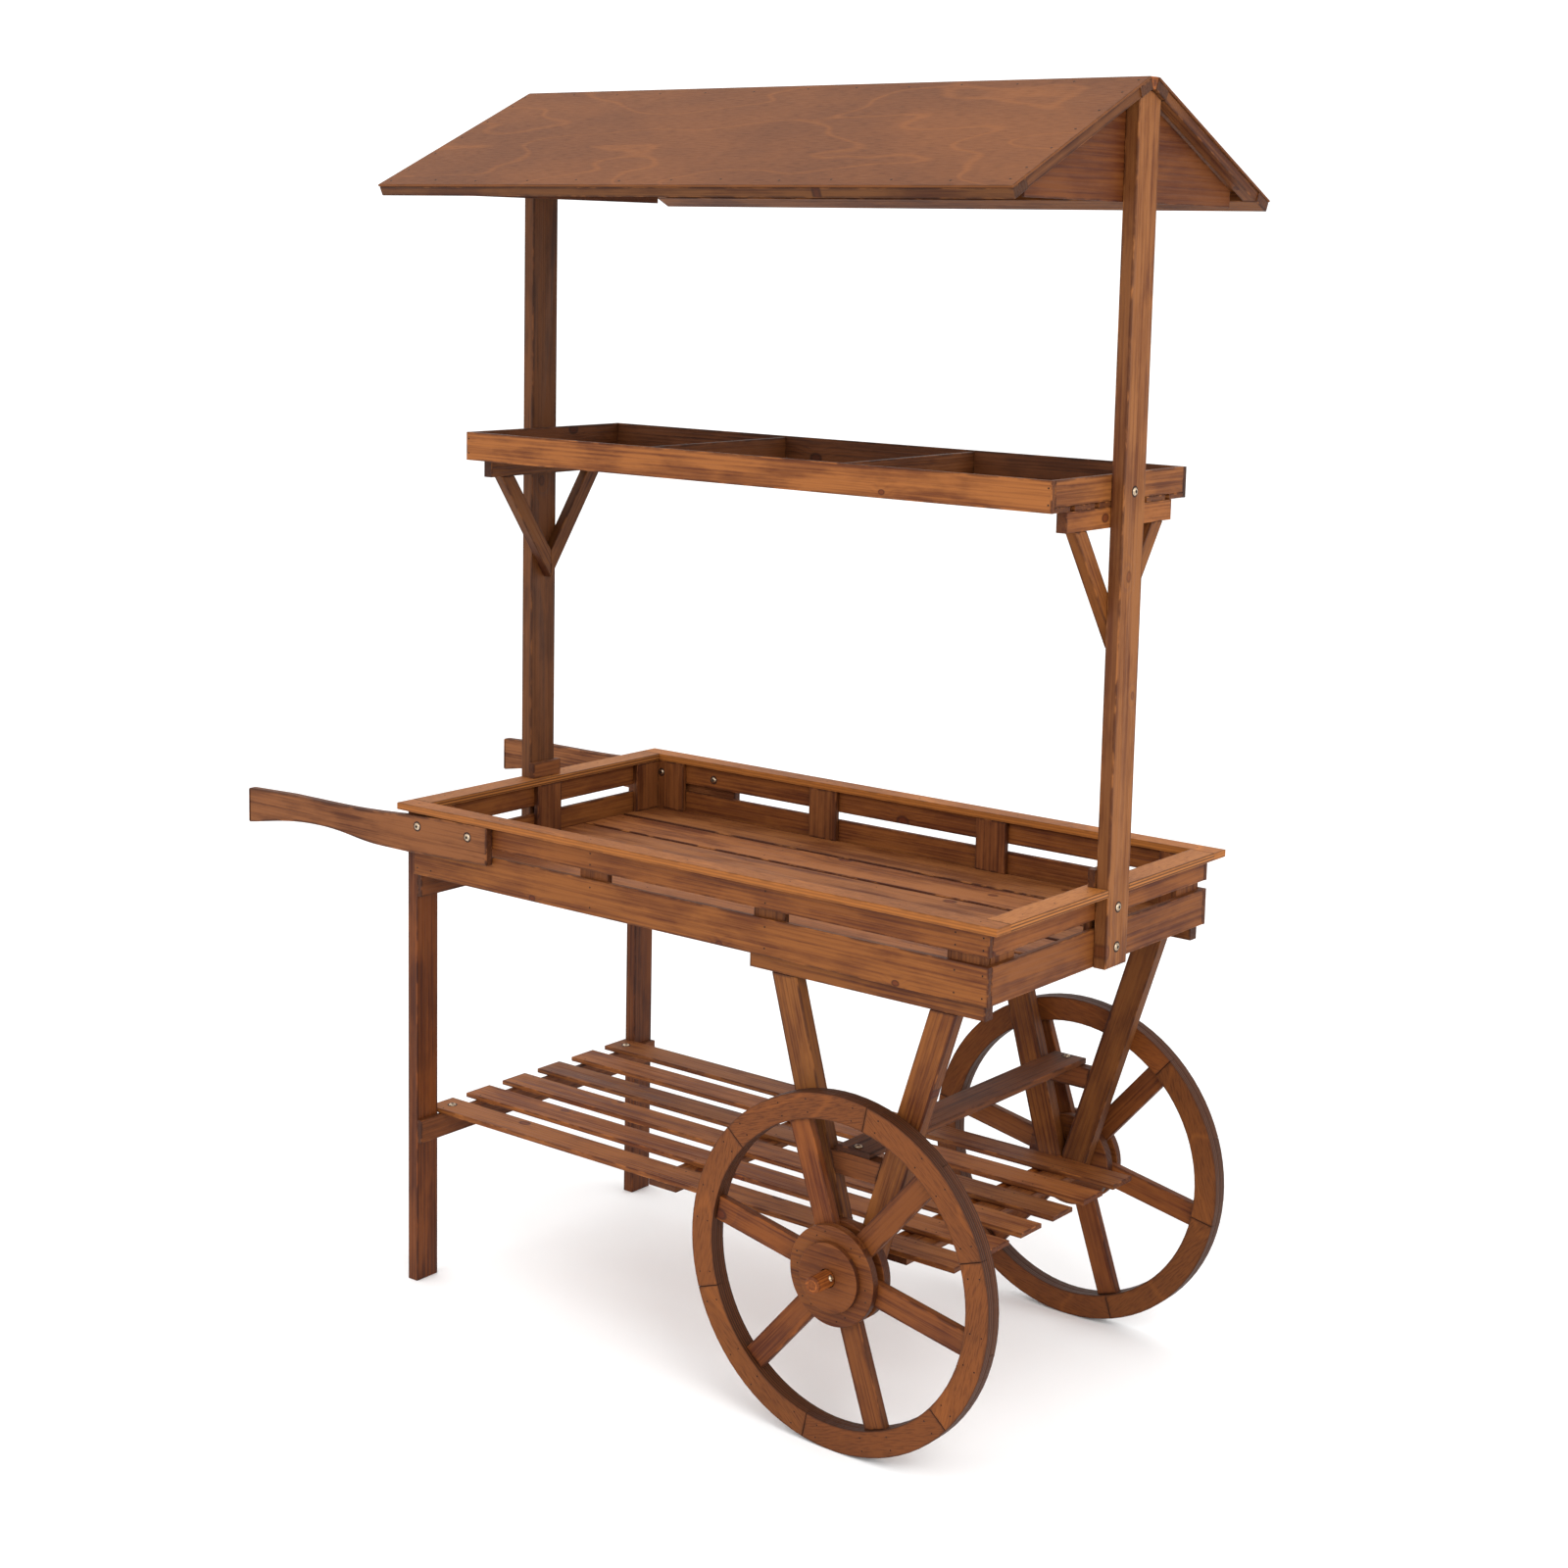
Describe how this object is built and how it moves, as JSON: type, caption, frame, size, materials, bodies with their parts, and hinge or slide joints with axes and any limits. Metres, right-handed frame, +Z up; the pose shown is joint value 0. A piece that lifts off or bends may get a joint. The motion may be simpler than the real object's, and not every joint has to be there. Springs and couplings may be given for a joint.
{
  "type": "push vending cart",
  "caption": "Wooden push cart for selling goods: an open tray on legs and spoked wheels, with handles, posts, an upper shelf and a gabled roof.",
  "frame": {"origin": "on the ground, under the middle of the overall length and width", "axes": "+X from the handles to the wheels, +Y to the rear long side, +Z up; the front long side faces -Y"},
  "size_m": [1.596, 0.794, 2.025],
  "materials": {
    "roof_plywood": "brown stained, satin, with open grain",
    "eave_batten": "brown stained, satin, with open grain",
    "roof_frame": "brown stained, satin, with open grain",
    "posts": "brown stained, satin, with open grain",
    "shelf_boards": "brown stained, satin, with open grain",
    "braces": "brown stained, satin, with open grain",
    "rim_plywood": "brown stained, satin, with open grain",
    "tray_boards": "brown stained, satin, with open grain",
    "handles": "brown stained, satin, with open grain",
    "legs": "brown stained, satin, with open grain",
    "undercarriage": "brown stained, satin, with open grain",
    "axle": "brown stained, satin, with open grain",
    "lower_shelf": "brown stained, satin, with open grain",
    "wheels": "brown stained, satin, with open grain",
    "fasteners": "zinc-plated steel, slightly yellow"
  },
  "bodies": {
    "frame": {"roof_sheet_front": "roof_plywood", "roof_sheet_rear": "roof_plywood", "gable_panel_left": "roof_plywood", "gable_panel_right": "roof_plywood", "eave_batten_front": "eave_batten", "eave_batten_rear": "eave_batten", "ridge_batten_front": "roof_frame", "ridge_batten_rear": "roof_frame", "rafter_left_front": "roof_frame", "rafter_left_rear": "roof_frame", "rafter_right_front": "roof_frame", "rafter_right_rear": "roof_frame", "ridge_beam": "roof_frame", "post_left": "posts", "post_right": "posts", "shelf_side_front": "shelf_boards", "shelf_side_rear": "shelf_boards", "shelf_end_left": "shelf_boards", "shelf_end_right": "shelf_boards", "shelf_divider_left": "shelf_boards", "shelf_divider_right": "shelf_boards", "shelf_floor": "shelf_boards", "shelf_brace_left_front": "braces", "shelf_brace_left_rear": "braces", "shelf_brace_right_front": "braces", "shelf_brace_right_rear": "braces", "tray_rim_front": "rim_plywood", "tray_rim_rear": "rim_plywood", "tray_rim_left": "rim_plywood", "tray_rim_right": "rim_plywood", "tray_wall_front": "tray_boards", "tray_wall_rear": "tray_boards", "tray_wall_left": "tray_boards", "tray_wall_right": "tray_boards", "tray_floor": "tray_boards", "post_block_left": "tray_boards", "post_block_right": "tray_boards", "handle_front": "handles", "handle_rear": "handles", "leg_front": "legs", "leg_rear": "legs", "leg_rail_upper": "legs", "leg_rail_lower": "legs", "under_rail_front": "undercarriage", "under_rail_rear": "undercarriage", "strut_left_front": "undercarriage", "strut_left_rear": "undercarriage", "strut_right_front": "undercarriage", "strut_right_rear": "undercarriage", "strut_tie_front": "undercarriage", "strut_tie_rear": "undercarriage", "cross_batten": "undercarriage", "axle": "axle", "lower_shelf": "lower_shelf"},
    "wheel_front": {"wheel_rim_front": "wheels", "wheel_spokes_front": "wheels", "wheel_hub_front": "wheels"},
    "wheel_rear": {"wheel_rim_rear": "wheels", "wheel_spokes_rear": "wheels", "wheel_hub_rear": "wheels"}
  },
  "joints": [
    {"name": "wheel_front_spin", "type": "hinge", "parent": "frame", "child": "wheel_front", "pos_m": [0.524, -0.33, 0.274], "axis": [0, 1, 0], "continuous": true},
    {"name": "wheel_rear_spin", "type": "hinge", "parent": "frame", "child": "wheel_rear", "pos_m": [0.524, 0.33, 0.274], "axis": [0, 1, 0], "continuous": true}
  ]
}
